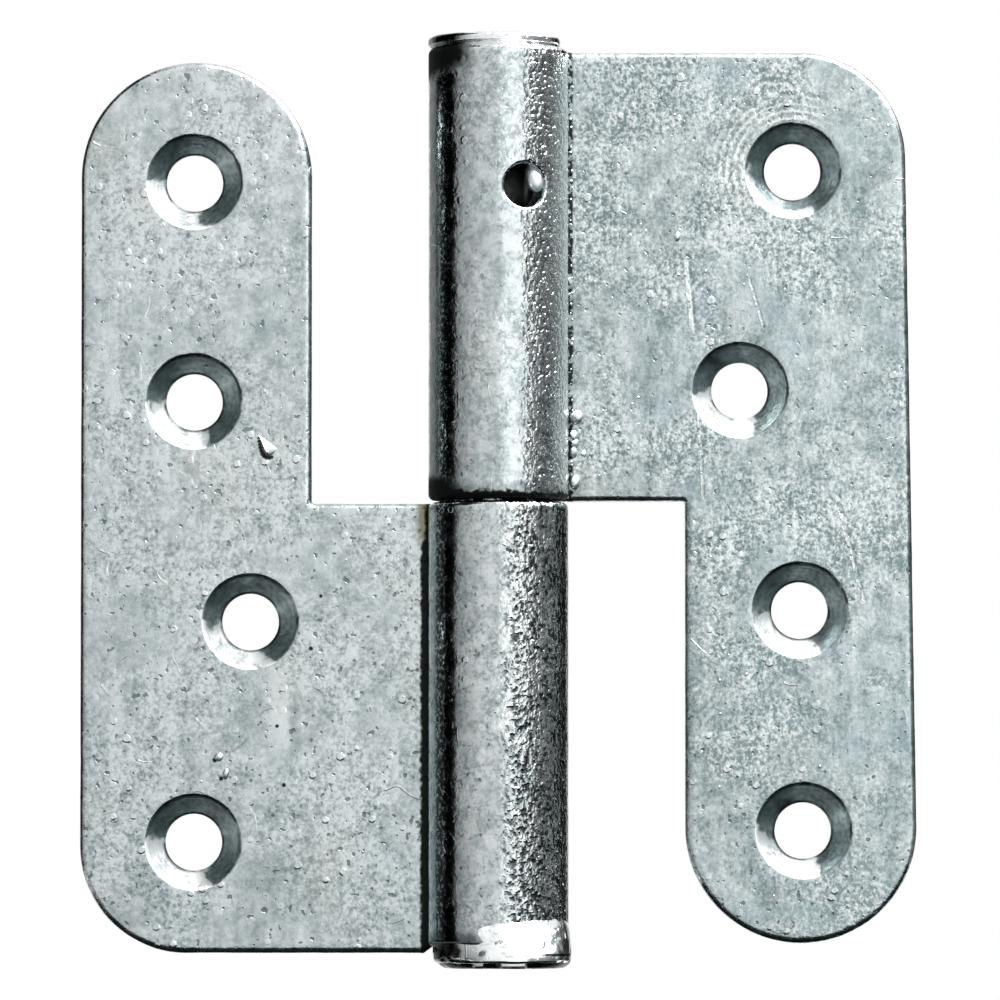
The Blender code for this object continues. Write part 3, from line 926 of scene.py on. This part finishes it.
        # Dark spots: painted shadows of the flake and of two drops, and four dark marks
        for right, high, size in DARK_MARKS_AND_SHADOWS:
            off = self.along - (self.pressing.sheet.reach + right * MM) + ragged * 0.15
            distance = self.board.length_of(self.board.joined(off, 0.0, up - high * MM))
            marks_and_shadows = marks_and_shadows.math("MAXIMUM", distance.span(size, size * 0.5))
        self.blacken(marks_and_shadows * self.front)
        # Painted shade in a strip of the frame leaf beside the lower knuckle
        edge = self.along + ragged * 0.5 - upper * (0.5 * MM)
        return self.inner * edge.span(-0.35, 0.05, self.foot)

    def holes(self):
        """Cut faces of the countersinks, their ragged rims, and arcs that a tool left round one hole, with
        painted shade on each countersink's upper side, mouth and bore, and a painted highlight on its lower
        side.
        """
        board, front, ragged, mouth = self.board, self.front, self.ragged, self.pressing.holes.mouth
        side = -1 if self.turned else 1
        reaches, pool, shaded = [], 0.0, 0.0
        for centre in self.pressing.screw_holes():
            right, high = (self.along - centre.x) * side, (self.up - centre.y) * side
            reach = board.length_of(board.joined(right, 0.0, high))
            reaches.append(reach)
            inside = reach < mouth + 0.4 * MM
            pool = pool + inside * ((0.0 - right) * 0.55 - high * 0.83) / reach
            shaded = shaded + inside * (high * 0.8 - right * 0.6) / reach
        near = reaches[0]
        for reach in reaches[1:]:
            near = near.math("MINIMUM", reach)
        cone = board.attribute("cut")
        rim = (near + ragged * 0.7).span(0.42, 0.1, mouth) * front * (1 - cone)
        stains = self.noise(2.6, 2)
        self.paint("bare", rim * stains.fade(0.45, 0.6) * 0.7)
        self.paint("bare", cone * 0.85)
        uneven = ragged * 140 + (stains - 0.5) * 0.8
        self.paint("pit_and_shade", cone * self.spots(0.6, 3, 0.34, 0.68) * 0.5)
        # Painted shade on the upper side of each countersink
        self.paint("pit_and_shade", cone * (shaded + uneven).fade(0.55, 1.0) * 0.7)
        self.paint("soot_and_shade", cone * (shaded + uneven).fade(0.95, 1.2) * 0.8)
        # Painted shade in a thin ring along the mouth's upper side
        edge = abs(near + ragged * 0.25 - mouth).span(0.24, 0.1) * (pool + uneven * 0.5).fade(0.1, -0.5)
        self.paint("soot_and_shade", edge * stains.fade(0.4, 0.55) * (front + cone).clamped() * 0.85)
        # Lower side of each countersink: pooled zinc with a painted highlight, dimmed where the lamp lights
        # it most
        pooled_and_highlit = cone * (pool + uneven).fade(0.50, 0.62)
        if self.turned:
            narrow = (near + ragged * 0.6).span(-1.1, -0.8, mouth)
            pooled_and_highlit = pooled_and_highlit * pick(reaches[-1] < mouth + 0.4 * MM, narrow, 1.0)
        dim = tuple(channel * 0.5 for channel in self.look.light)
        lamp_lit = (pool - self.spots(0.9, 3, 0.34, 0.6) * 0.08).fade(0.76, 0.94)
        self.colour = board.mix(pooled_and_highlit, self.colour, board.mix(lamp_lit, tuple(self.look.glint), dim))
        # Painted shade where the countersink meets the bore
        self.paint("soot_and_shade", near.span(-2.0, -2.35, mouth) * cone * stains.fade(0.62, 0.48) * 0.85)
        grooves = (self.across * (2 * math.pi / (0.42 * MM))).math("SINE")
        self.relief = self.relief * (1 - cone * 0.5) + grooves * cone * 0.004 * stains
        self.rough = pick(cone, self.look.cut_roughness + (stains - 0.5) * 0.3 + pooled_and_highlit * 0.1, self.rough)
        if self.turned:
            # Tool arcs round one hole: real ridges with a painted highlight on them
            arcs = ((reach + ragged * 0.4) * (2 * math.pi / (0.9 * MM))).math("SINE")
            toward = ((high - right * 0.9) / reach).fade(0.1, 0.8) * stains.fade(0.36, 0.48)
            arcs = arcs * reach.span(12.5, 7) * toward * front * (1 - cone)
            self.relief = self.relief + arcs * 0.026
            self.paint("glint", arcs.clamped() * 0.5)


def ball_steel():
    """Ground steel under a film of old grease, painted near black but for its right side, as painted shade.
    """
    material, board, shader = new_material("greased_steel")
    place = board.put("ShaderNodeTexCoord", output="Object")
    film = board.noise(place, 1.6, 3).fade(0.42, 0.62)
    scratches = board.noise(board.mapped(place, Scale=(1, 1, 9)), 1.2, 2)
    # Painted shade: near black all over except the right side, where the lamp catches the ball
    shaded_side = board.parts(place)[0].span(3.9, 3.0)
    colour = board.mix(film, (0.74, 0.78, 0.78), (0.52, 0.55, 0.55))
    colour = board.mix(shaded_side * 0.97, colour, (0.010, 0.011, 0.010))
    bump = board.put("ShaderNodeBump", {"Strength": 1.0, "Distance": 0.004 * MM, "Height": scratches + film})
    rough = 0.24 + film * 0.22 + scratches * 0.06 + shaded_side * 0.3
    board.feed(shader, {"Base Color": colour, "Roughness": rough, "Metallic": 1.0, "Normal": bump})
    return material


def dress_leaf(side, shift, tone, speckle, cold, pattern):
    """Press, roll and coat one leaf, and let it stand for its solid."""
    pressing, look = Pressing(bpy.context.scene, side), bpy.context.scene.hinge_zinc
    rolling, turned = pressing.rolling, pressing.turned
    material = LeafZinc(f"{side}_zinc", look, pressing, shift, tone, speckle, cold).finished()
    item = object_of(f"{side}_leaf_sheet", flat_blank(pressing))
    values = (rolling.reach, rolling.middle, rolling.flat, rolling.bend, rolling.angle, rolling.roll,
              float(turned), look.lump, look.grain, 0.0 if turned else look.flare, pressing.foot_level,
              pattern, material)
    grown(item, roll_tree(), values, (f"{side}_side", f"{side}_leaf", "dipped_sheet"))


class HINGE_OT_frame_leaf(bpy.types.Operator):
    """Dress the frame leaf with its rolled lower knuckle"""
    bl_idname = "hinge.frame_leaf"
    bl_label = "Frame leaf"

    def execute(self, context):
        dress_leaf("frame", 0.0, 0.69, 0.8, 0.18, 0.013)
        return {"FINISHED"}


class HINGE_OT_door_leaf(bpy.types.Operator):
    """Dress the door leaf with its rolled upper knuckle and oil hole"""
    bl_idname = "hinge.door_leaf"
    bl_label = "Door leaf"

    def execute(self, context):
        # The door leaf's tone, lower than the frame leaf's, is painted shade on the same zinc
        dress_leaf("door", 0.061, 0.405, 1.2, 0.45, 0.047)
        return {"FINISHED"}


def sow_beads(side, beads, material, seed):
    """Set beads of zinc, given as (x, y, z, radius) in millimetres, on a leaf."""
    work = bmesh.new()
    size = work.verts.layers.float.new("size")
    for x, y, z, radius in beads:
        work.verts.new((x * MM, y * MM, z * MM))[size] = radius
    grown(object_of(f"{side}_leaf_drops", work), bead_tree(), (MM, 0.12 * MM, seed, material),
          (f"{side}_side", f"{side}_leaf", "dipped_sheet"))


def flake():
    """A splinter of zinc that stands up from the frame leaf, steep on its left and lower sides."""
    foot = ((-29.75, 8.3), (-29.4, 7.2), (-29.1, 6.4), (-28.9, 5.8), (-28.5, 5.6), (-28.1, 5.75),
            (-27.3, 6.6), (-28.6, 7.5))
    crest = ((-29.5, 7.9, 0.15), (-29.2, 7.2, 0.3), (-28.95, 6.6, 0.45), (-28.75, 6.2, 0.5),
             (-28.4, 6.0, 0.4), (-28.1, 6.1, 0.25), (-27.6, 6.55, 0.08), (-28.55, 7.25, 0.1))
    leaf_front, buried = 2.0, 0.4
    work = bmesh.new()
    below, lower = ([work.verts.new(Vector((x, leaf_front + depth, z)) * MM) for x, z in foot]
                    for depth in (buried, 0))
    upper = [work.verts.new(Vector((x, leaf_front - rise, z)) * MM) for x, z, rise in crest]
    wall(work, below, lower)
    wall(work, lower, upper)
    work.faces.new(below[::-1])
    work.faces.new(upper)
    bmesh.ops.recalc_face_normals(work, faces=work.faces)
    bmesh.ops.triangulate(work, faces=work.faces)
    return object_of("zinc_flake", work)


class HINGE_OT_beads(bpy.types.Operator):
    """Set the drops of zinc that stayed on the leaves, in the seam and in the oil hole"""
    bl_idname = "hinge.beads"
    bl_label = "Zinc beads"

    def execute(self, context):
        draw = random.Random(5)
        drops = [(9.6, 1.7, 10.5, 0.95), (9.3, 1.7, 8.3, 0.55), (9.5, 1.8, 7.2, 0.5), (9.3, 1.7, 6.1, 0.5),
                 (10.6, 1.9, 6.0, 0.35), (9.5, 1.6, 2.4, 0.8), (4.45, -5.7, 39.6, 1.3),
                 (22.2, 2.0, 32.9, 0.5)]
        for step in range(34):
            height = 2.5 + step * 1.5 + draw.uniform(-0.6, 0.6)
            drops.append((9.05 + draw.uniform(-0.1, 0.15), 1.85, height, draw.uniform(0.1, 0.2)))
        material = zinc("bead_zinc", context.scene.hinge_zinc, 0.071, 1.1, 0.4, 0.1, rougher=0.25)
        drops += self.scattered(draw, "door", 60, 12, 38, 2.06, (0.1, 0.22))
        sow_beads("door", drops, material, 3)
        drops = [(-34.6, 2.1, -31.6, 0.6), (-33.7, 2.1, -33.7, 0.5)]
        drops += self.scattered(draw, "frame", 30, -50, 40, 2.08, (0.08, 0.16))
        sow_beads("frame", drops, material, 9)
        dip(flake(), ("frame_side", "frame_leaf", "dipped_sheet"), 0.04, 0.01, 0.091, material)
        return {"FINISHED"}

    def scattered(self, draw, side, count, left, width, y, sizes):
        """Small drops strewn over the flat part of a leaf, off its holes and edges."""
        pressing = Pressing(bpy.context.scene, side)
        spots = [(left + width * draw.random(), 50 * draw.uniform(-1, 1), draw.uniform(*sizes))
                 for _ in range(count)]
        return [(x, y, z, size) for x, z, size in spots if pressing.clear_spot(x * MM, z * MM)]


def turned_body(name, profile, segments):
    """A turned body; its profile runs up from the axis and back to it, as (radius, height, shift)."""
    work = bmesh.new()
    rings = []
    for radius, height, shift in profile:
        if radius == 0:
            rings.append([work.verts.new((shift, 0, height))] * segments)
            continue
        rings.append([work.verts.new((shift + radius * math.cos(turn), radius * math.sin(turn), height))
                      for turn in full_turn(segments)])
    for lower, upper in zip(rings, rings[1:]):
        wall(work, lower, upper)
    bmesh.ops.recalc_face_normals(work, faces=work.faces)
    return object_of(name, work)


def drawn(points, step):
    """A profile with its long stretches divided."""
    profile = []
    for here, after in zip(points, points[1:]):
        here, after = Vector(here), Vector(after)
        count = max(1, round((after - here).length / step))
        profile += [tuple(here.lerp(after, index / count)) for index in range(count)]
    return profile + [tuple(points[-1])]


def rounded(radius, height, size, start, end, shift):
    """Profile points round a flange's edge, between angles in degrees: -90 to 0 below it, 0 to 90 above."""
    centre = Vector((radius - size, height + (size if start < 0 else -size)))
    return [(point.x, point.y, shift) for point in arc(centre, size, start, end, size / 5)]


def cup(radius, depth, rim_height, up):
    """Profile points of a ball's cup, from its rim to the axis; up is 1 if it opens upwards, else -1."""
    rim = math.acos((radius - depth) / radius)
    centre = rim_height + up * (radius - depth)
    turns = [rim * (1 - step / CUP_STEPS) for step in range(CUP_STEPS)]
    points = [(radius * math.sin(turn), centre - up * radius * math.cos(turn), 0) for turn in turns]
    return points + [(0, centre - up * radius, 0)]


def dip(item, stands_for, lump, grain, pattern, material):
    """Coat a turned piece with waves and grain of these heights, in millimetres."""
    grown(item, dip_tree(), (lump * MM, grain * MM, pattern, material), stands_for)


class HINGE_OT_pin(bpy.types.Operator):
    """Dress the pin with its upset head, and the collar of zinc round it"""
    bl_idname = "hinge.pin"
    bl_label = "Pin"

    def execute(self, context):
        pin, look = context.scene.hinge_pin, context.scene.hinge_zinc
        end = LEAF_LOW.z + context.scene.hinge_pressing.step[0]
        head_top, bottom, top = end - pin.seat, HEAD_LOW.z, PIN_HIGH.z
        profile = [(0, bottom, pin.head_shift)]
        profile += rounded(pin.head, bottom, pin.head_rounding, -90, 0, pin.head_shift)
        profile += rounded(pin.head, head_top, 0.3 * MM, 0, 90, pin.head_shift)
        profile += [(pin.shank, head_top, 0), (pin.shank, top - pin.lead, 0), (pin.shank - pin.lead, top, 0)]
        profile = drawn(profile + cup(pin.ball + pin.seat, pin.cup, top, 1), 0.6 * MM)
        # Painted shade under the head, and two painted glints on its lower edge
        material = zinc("pin_zinc", look, 0.033, 0.62, 0.7, 0.25, shade_below=bottom + 1.0 * MM,
                        glints=((-2.4 * MM, 0.75 * MM), (1.9 * MM, 1.7 * MM)))
        dip(turned_body("pin_with_head", profile, BODY_STEPS), ("frame_side", "hinge_pin", "zinc_pin"),
            0.07, 0.01, 0.021, material)
        flank = [(7.4, 3.7), (7.95, 3.5), (8.2, 2.9), (8.35, 2.3), (8.45, 1.6), (8.52, 0.9), (8.56, 0.2),
                 (8.58, -0.5), (8.56, -1.1), (8.45, -1.6), (8.2, -1.85), (7.4, -1.95)]
        ring = [(radius * MM, end + rise * MM, 0.0) for radius, rise in flank[::-1]]
        collar = turned_body("zinc_collar", drawn(ring + ring[:1], 0.25 * MM), COLLAR_STEPS)
        collar.data.transform(Matrix.Translation((0.46 * MM, -0.46 * MM, 0)))
        # Collar: a light tone, painted shade on its left and painted highlight on its right
        material = zinc("collar_zinc", look, 0.027, 1.0, 0.35, 0.1, shade_and_highlight=(-5.6 * MM, -0.6 * MM, 0.5, end))
        dip(collar, ("frame_side", "frame_leaf", "dipped_sheet"), 0.22, 0.05, 0.032, material)
        return {"FINISHED"}


class HINGE_OT_plug(bpy.types.Operator):
    """Dress the plug that closes the upper knuckle"""
    bl_idname = "hinge.plug"
    bl_label = "Plug"

    def execute(self, context):
        pin, look = context.scene.hinge_pin, context.scene.hinge_zinc
        top, end = CAP_HIGH.z, PLUG_LOW.z
        under = -LEAF_LOW.z - context.scene.hinge_pressing.step[1] + pin.seat
        chamfer = 0.6 * MM
        profile = cup(pin.ball + pin.seat, pin.cup, end, -1)[::-1]
        profile += [(pin.shank - chamfer, end, 0), (pin.shank, end + chamfer, 0),
                    (pin.shank, under - 0.9 * MM, 0),
                    (pin.cap - 0.35 * MM, under - 0.7 * MM, pin.cap_shift * 0.5)]
        profile += rounded(pin.cap, under, 0.25 * MM, -60, 0, pin.cap_shift)
        profile += rounded(pin.cap, top, pin.cap_rounding, 0, 90, pin.cap_shift)
        profile = drawn(profile + [(0, top, pin.cap_shift)], 0.6 * MM)
        # Plug: painted shade on the flange's left and painted highlight on its right
        material = zinc("plug_zinc", look, 0.082, 0.72, 0.7, 0.25, shade_and_highlight=(-5.2 * MM, -3.0 * MM, 0.0, 0.0))
        dip(turned_body("plug_with_flange", profile, BODY_STEPS), ("door_side", "top_plug", "zinc_pin"),
            0.05, 0.01, 0.055, material)
        return {"FINISHED"}


class HINGE_OT_ball(bpy.types.Operator):
    """Dress the bearing ball that shows in the oil hole"""
    bl_idname = "hinge.ball"
    bl_label = "Ball"

    def execute(self, context):
        work = bmesh.new()
        middle = Matrix.Translation((BALL_LOW + BALL_HIGH) / 2)
        bmesh.ops.create_icosphere(work, subdivisions=5, radius=context.scene.hinge_pin.ball, matrix=middle)
        dip(object_of("greased_ball", work), ("bearing", "bearing_ball", "ball_steel"), 0.0, 0.002, 0.0,
            ball_steel())
        return {"FINISHED"}


def area_lamp(name, place, aim, size, power):
    """A rectangular lamp that looks at a point. Power is its brightness, as light leaving its face."""
    data = bpy.data.lights.new(name, "AREA")
    data.shape = "RECTANGLE"
    data.size, data.size_y = size
    data.energy = power * size[0] * size[1] * math.pi
    lamp = placed(name, data)
    lamp.location = place
    lamp.rotation_euler = (Vector(aim) - Vector(place)).to_track_quat("-Z", "Y").to_euler()


def staged(name, work, material):
    card = object_of(name, work)
    card.data.materials.append(material)
    return card


def plain_card(name, place, aim, size, material):
    """A flat card of the studio that faces a point."""
    work = bmesh.new()
    bmesh.ops.create_grid(work, x_segments=1, y_segments=1, size=0.5)
    facing = (Vector(aim) - Vector(place)).to_track_quat("Z", "Y").to_matrix().to_4x4()
    bmesh.ops.transform(work, matrix=Matrix.Translation(place) @ facing @ Matrix.Diagonal((*size, 1, 1)),
                        verts=work.verts)
    return staged(name, work, material)


CURTAIN_STOPS = [
    (-162, 0.9), (-158, 0.35), (-126, 0.22), (-121, 0.004), (-76, 0.004), (-71, 0.35), (-50, 0.62),
    (-28, 0.88), (0, 0.98), (5, 1.12), (11, 1.55), (44, 1.55), (52, 0.45), (75, 0.25), (115, 0.18),
    (122, 0.02), (158, 0.02), (164, 0.95)]


def curtain(name, stops, radius, low, high, material):
    """A card bent round the hinge, from stops of (degrees to the right of the camera, brightness)."""
    work = bmesh.new()
    shade = work.verts.layers.float.new("shade")
    columns = []
    for (start, first), (end, last) in zip(stops, stops[1:]):
        count = max(1, round((end - start) / 2))
        columns += [(start + (end - start) * step / count, first + (last - first) * step / count)
                    for step in range(count)]
    rows = []
    for degrees, bright in columns + stops[-1:]:
        turn = math.radians(degrees)
        x, y = radius * math.sin(turn), -radius * math.cos(turn)
        corners = [work.verts.new((x, y, z)) for z in (low, high)]
        for corner in corners:
            corner[shade] = bright
        rows.append(corners)
    for here, after in zip(rows, rows[1:]):
        work.faces.new((here[0], here[1], after[1], after[0]))
    return staged(name, work, material)


class HINGE_OT_stage(bpy.types.Operator):
    """Set up floor, room light, lamp, dark cards and camera"""
    bl_idname = "hinge.stage"
    bl_label = "Stage"

    def execute(self, context):
        scene, stage = context.scene, context.scene.hinge_stage
        scene.view_settings.view_transform = "Standard"
        scene.world = bpy.data.worlds.new("room")
        scene.world.use_nodes = True
        room = Board(scene.world.node_tree)
        room.feed(room.tree.nodes["Background"], {"Color": (1, 1, 1, 1), "Strength": stage.room})
        floor = new_material("pale_floor", {"Base Color": (*stage.floor, 1), "Roughness": 0.8})[0]
        plain_card("floor", (0, 0, -0.16), (0, 0, 1), (6, 6), floor)
        black = new_material("black_card", {"Base Color": (0.004, 0.006, 0.006, 1), "Roughness": 1.0,
                                            "Specular IOR Level": 0.0})[0]
        glow, board, shader = new_material("curtain")
        bright = board.attribute("shade")
        board.feed(shader, {"Base Color": (0, 0, 0, 1), "Specular IOR Level": 0.0, "Emission Strength": 1.0,
                            "Emission Color": board.joined(bright, bright, bright)})
        for card in (curtain("curtain_round_hinge", CURTAIN_STOPS, 0.5, -0.155, 0.24, glow),
                     plain_card("card_below", (0.1, -0.12, -0.15), (0.1, -0.12, 0), (0.8, 0.5), black),
                     plain_card("card_upper_left", (-0.34, 0.02, 0.36), (0, 0.02, 0), (0.6, 0.42), black)):
            for view in HIDDEN_FROM:
                setattr(card, f"visible_{view}", False)
        area_lamp("top_light", (0.27, -0.15, 0.43), (0, 0, 0), (0.50, 0.38), stage.top)
        lens = bpy.data.cameras.new("camera")
        scene.camera = placed("camera", lens)
        aim = Vector((0.21 * MM, 0, 0.12 * MM))
        back = Vector((0, -math.cos(stage.rise), math.sin(stage.rise)))
        scene.camera.location = aim + back * stage.distance
        scene.camera.rotation_euler = (-back).to_track_quat("-Z", "Y").to_euler()
        lens.lens = lens.sensor_width * stage.distance / stage.width
        lens.clip_start, lens.clip_end = 0.05, 20
        return {"FINISHED"}


PIECE_OPERATORS = (HINGE_OT_frame_leaf, HINGE_OT_door_leaf, HINGE_OT_beads, HINGE_OT_pin, HINGE_OT_plug,
                   HINGE_OT_ball, HINGE_OT_stage)


class HINGE_PT_looks(bpy.types.Panel):
    """Lists the steps that dress the hinge"""
    bl_idname = "HINGE_PT_looks"
    bl_label = "Hinge looks"
    bl_space_type = "VIEW_3D"
    bl_region_type = "UI"
    bl_category = "Hinge"

    def draw(self, context):
        for step in PIECE_OPERATORS:
            self.layout.operator(step.bl_idname)


PROPERTY_GROUPS = {
    "hinge_sheet": HingeSheetSizes,
    "hinge_pressing": HingePressingSizes,
    "hinge_pin": HingePinSizes,
    "hinge_zinc": HingeZincLook,
    "hinge_stage": HingeStageLook,
}


def register():
    for name, group in PROPERTY_GROUPS.items():
        bpy.utils.register_class(group)
        setattr(bpy.types.Scene, name, PointerProperty(type=group))
    for item in (*PIECE_OPERATORS, HINGE_PT_looks):
        bpy.utils.register_class(item)


def unregister():
    for item in (HINGE_PT_looks, *reversed(PIECE_OPERATORS)):
        bpy.utils.unregister_class(item)
    for name, group in PROPERTY_GROUPS.items():
        delattr(bpy.types.Scene, name)
        bpy.utils.unregister_class(group)


def main():
    register()
    for step in PIECE_OPERATORS:
        family, name = step.bl_idname.split(".")
        getattr(getattr(bpy.ops, family), name)()


if __name__ == "__main__":
    main()
